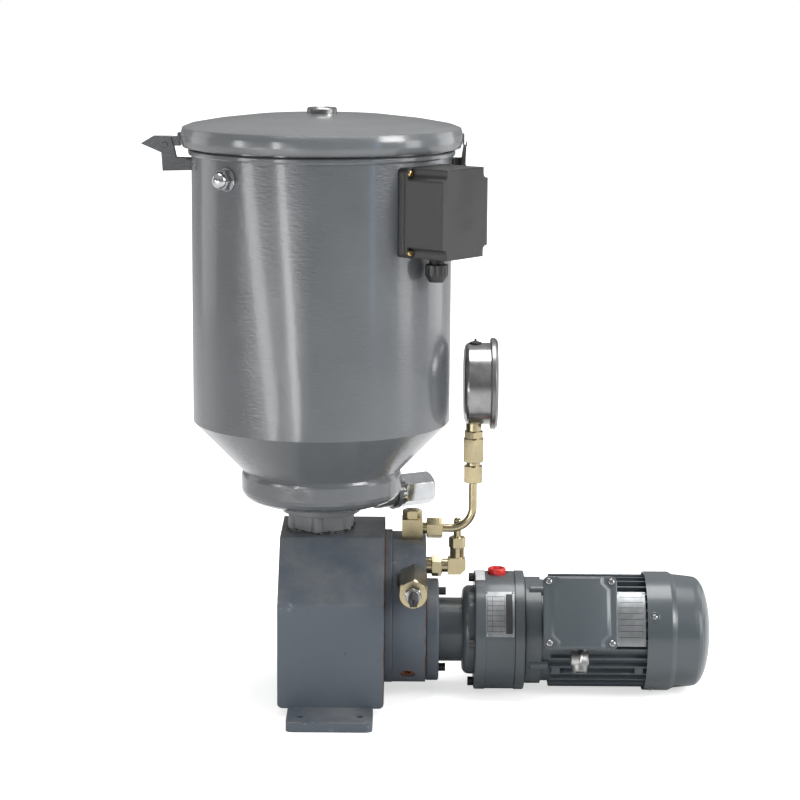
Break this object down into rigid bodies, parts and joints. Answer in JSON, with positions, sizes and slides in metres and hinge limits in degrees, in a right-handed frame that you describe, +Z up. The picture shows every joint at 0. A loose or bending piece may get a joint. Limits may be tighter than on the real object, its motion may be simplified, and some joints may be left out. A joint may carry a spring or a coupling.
{
  "type": "electric grease pump",
  "caption": "Electric grease pump: round hinged-lid grease tank on a cast gear housing, side motor with reducer, pump head with relief valve and gauge, on bolt-down feet.",
  "frame": {"origin": "centre of the foot bolt pattern, on the floor", "axes": "+Z up, +X from the tank towards the motor along the drive line, +Y to the back"},
  "size_m": [0.6907, 0.38, 0.711],
  "materials": {
    "cast_paint": "painted blue-grey",
    "tank_paint": "gloss grey enamel",
    "lid_paint": "gloss light grey enamel",
    "motor_paint": "painted blue-grey",
    "reducer_paint": "painted blue-grey",
    "bright_steel": "bright",
    "chrome_steel": "polished",
    "zinc_fitting": "yellow zinc look",
    "brass": "satin",
    "black_steel": "black oxide",
    "black_plastic": "matt",
    "grey_plastic": "satin",
    "black_rubber": "matt",
    "red_plastic": "gloss",
    "rusty_plug": "rusted",
    "gauge_glass": "clear",
    "dial_white": "matt white"
  },
  "bodies": {
    "body": {"gear_housing": "cast_paint", "mounting_feet": "cast_paint", "pump_flange": "cast_paint", "pump_body": "cast_paint", "pump_cover": "cast_paint", "socket_screws": "black_steel", "side_port_plug": "rusty_plug", "relief_valve_body": "zinc_fitting", "relief_adjuster": "black_steel", "plunger_sleeves": "brass", "bearings": "bright_steel", "reducer_adapter": "reducer_paint", "reducer_case": "reducer_paint", "reducer_rear_flange": "reducer_paint", "oil_plug": "red_plastic", "ring_pins": "bright_steel", "motor_end_bell": "motor_paint", "motor_frame": "motor_paint", "terminal_box": "motor_paint", "terminal_cover": "motor_paint", "terminal_gland": "bright_steel", "fan_cowl": "tank_paint", "tank_neck": "cast_paint", "tank_shell": "tank_paint", "hinge_bracket": "tank_paint", "hinge_pin": "tank_paint", "latch_base": "black_steel", "cap_nut": "chrome_steel", "sensor_box_base": "grey_plastic", "sensor_box_cover": "grey_plastic", "sensor_gland": "black_plastic", "fill_port_stub": "tank_paint", "fill_port_cap": "chrome_steel", "gauge_block": "zinc_fitting", "gauge_tube": "zinc_fitting", "gauge_line_nuts": "zinc_fitting", "gauge_case": "bright_steel", "gauge_bezel": "chrome_steel", "gauge_glass": "gauge_glass", "gauge_dial": "dial_white", "gauge_fill_plug": "black_rubber", "outlet_elbow": "zinc_fitting", "outlet_stub": "zinc_fitting"},
    "lid": {"lid_cover": "lid_paint", "lid_gasket": "black_rubber", "lid_hinge_arm": "lid_paint", "lid_vent_plug": "bright_steel", "lid_catch": "bright_steel"},
    "latch_handle": {"latch_lever": "bright_steel"},
    "latch_loop": {"latch_bail": "bright_steel"},
    "drive_line": {"drive_shaft": "bright_steel", "output_carrier": "bright_steel"},
    "stirrer": {"stirrer_shaft": "bright_steel", "crown_gear": "bright_steel"},
    "rotor": {"motor_shaft": "bright_steel", "fan": "black_plastic"},
    "cycloid": {"cycloid_disc": "bright_steel"},
    "front_plunger": {"plunger_front": "bright_steel"},
    "rear_plunger": {"plunger_rear": "bright_steel"},
    "pointer": {"gauge_pointer": "black_plastic"}
  },
  "joints": [
    {"name": "lid_swing", "type": "hinge", "parent": "body", "child": "lid", "pos_m": [-0.201, 0, 0.666], "axis": [0, -1, 0], "range_deg": [0, 100]},
    {"name": "latch_swing", "type": "hinge", "parent": "body", "child": "latch_handle", "pos_m": [0.153, 0, 0.642], "axis": [0, -1, 0], "range_deg": [0, 95]},
    {"name": "latch_loop_swing", "type": "hinge", "parent": "latch_handle", "child": "latch_loop", "pos_m": [0.1515, 0, 0.63], "axis": [0, -1, 0], "range_deg": [-95, 0]},
    {"name": "drive_spin", "type": "hinge", "parent": "body", "child": "drive_line", "pos_m": [0, 0, 0.0729], "axis": [1, 0, 0], "continuous": true},
    {"name": "stirrer_spin", "type": "hinge", "parent": "body", "child": "stirrer", "pos_m": [-0.015, 0, 0.3], "axis": [0, 0, 1], "continuous": true},
    {"name": "rotor_spin", "type": "hinge", "parent": "body", "child": "rotor", "pos_m": [0.3, 0, 0.0729], "axis": [1, 0, 0], "continuous": true},
    {"name": "cycloid_spin", "type": "hinge", "parent": "rotor", "child": "cycloid", "pos_m": [0.204, 0, 0.0714], "axis": [1, 0, 0], "continuous": true},
    {"name": "front_plunger_slide", "type": "slide", "parent": "body", "child": "front_plunger", "axis": [0, 1, 0], "range_m": [0, 0.006]},
    {"name": "rear_plunger_slide", "type": "slide", "parent": "body", "child": "rear_plunger", "axis": [0, -1, 0], "range_m": [0, 0.006]},
    {"name": "pointer_turn", "type": "hinge", "parent": "body", "child": "pointer", "pos_m": [0.18, 0, 0.3799], "axis": [-1, 0, 0], "range_deg": [0, 270]}
  ],
  "couplings": [
    {"joint": "latch_loop_swing", "follows": "latch_swing", "ratio": -1},
    {"joint": "drive_spin", "follows": "rotor_spin", "ratio": -0.090909},
    {"joint": "stirrer_spin", "follows": "rotor_spin", "ratio": 0.045455},
    {"joint": "cycloid_spin", "follows": "rotor_spin", "ratio": -1.0909}
  ]
}
